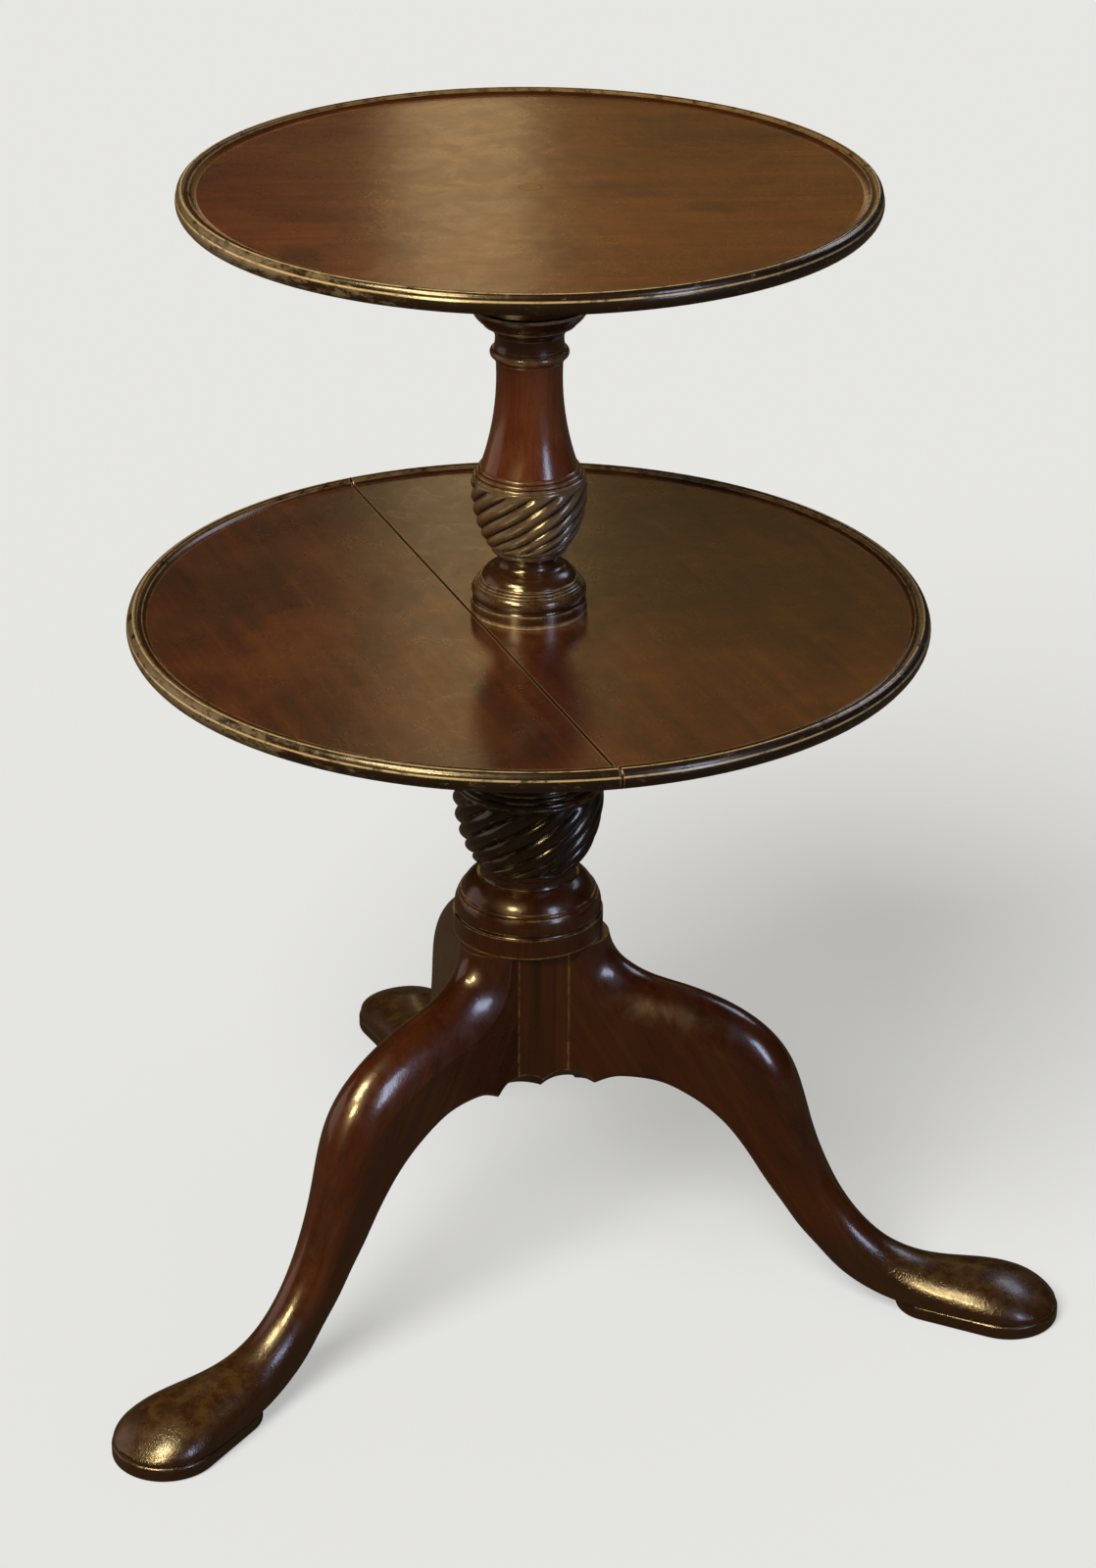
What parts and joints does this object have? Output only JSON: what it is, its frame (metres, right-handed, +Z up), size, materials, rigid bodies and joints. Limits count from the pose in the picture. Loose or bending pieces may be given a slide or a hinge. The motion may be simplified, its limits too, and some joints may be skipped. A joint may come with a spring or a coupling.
{
  "type": "dumbwaiter table",
  "caption": "Two-tier mahogany dumbwaiter table: round dished trays that turn about a turned, spirally reeded column on cabriole legs with pad feet.",
  "frame": {"origin": "on the column's axis at floor level", "axes": "+Z up along the column; +Y towards the back leg's foot"},
  "size_m": [0.7734, 0.7477, 0.916],
  "materials": {
    "polished_mahogany": "old glossy French polish",
    "pale_hardwood": "bare turned hardwood"
  },
  "bodies": {
    "stand": {"pillar": "polished_mahogany", "leg_back": "polished_mahogany", "leg_front_left": "polished_mahogany", "leg_front_right": "polished_mahogany", "lower_spindle": "pale_hardwood", "upper_column": "polished_mahogany", "upper_pivot_pin": "pale_hardwood"},
    "lower_tray": {"lower_tray_broad_board": "polished_mahogany", "lower_tray_narrow_board": "polished_mahogany"},
    "upper_tray": {"upper_tray": "polished_mahogany"}
  },
  "joints": [
    {"name": "lower_tray_turn", "type": "hinge", "parent": "stand", "child": "lower_tray", "pos_m": [0, 0, 0.57225], "axis": [0, 0, 1], "continuous": true},
    {"name": "upper_tray_turn", "type": "hinge", "parent": "stand", "child": "upper_tray", "pos_m": [0, 0, 0.90575], "axis": [0, 0, 1], "continuous": true}
  ]
}
